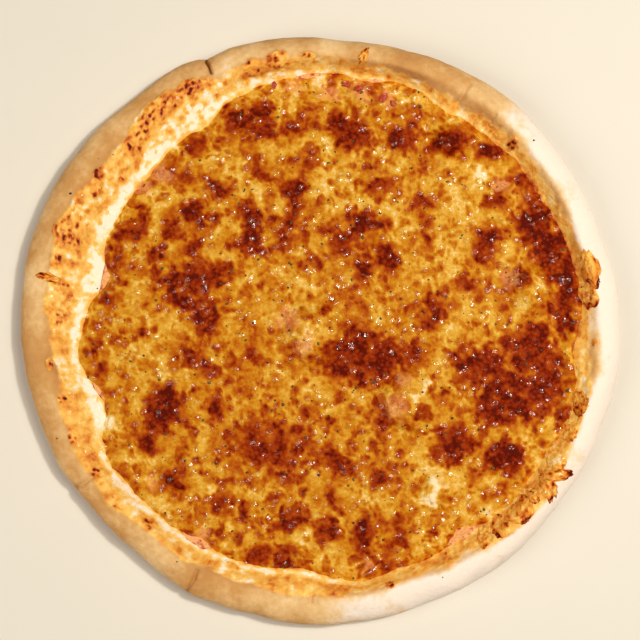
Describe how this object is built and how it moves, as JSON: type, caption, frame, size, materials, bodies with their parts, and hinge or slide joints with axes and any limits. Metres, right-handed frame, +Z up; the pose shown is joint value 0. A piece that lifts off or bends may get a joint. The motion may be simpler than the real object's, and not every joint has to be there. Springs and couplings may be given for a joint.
{
  "type": "margherita pizza",
  "caption": "Whole baked margherita pizza: round dough base with an uneven raised rim, thin tomato sauce and a browned, blistered melted-cheese top with dried herbs, lying flat to serve.",
  "frame": {"origin": "centre of the bounding box's bottom, on the surface that the pizza lies on", "axes": "+Z up out of the cheese side; +Y towards the picture's upper edge and +X towards its right edge, as the pizza lies in the picture"},
  "size_m": [0.3303, 0.3247, 0.0211],
  "materials": {
    "baked_dough": "matte baked dough, pale gold with floury and toasted patches",
    "tomato_sauce": "moist cooked tomato sauce",
    "melted_cheese": "oily melted cheese, golden with red-brown baked spots and dark herb flakes"
  },
  "bodies": {
    "root": {"crust": "baked_dough", "tomato_sauce": "tomato_sauce", "cheese": "melted_cheese"}
  },
  "joints": []
}
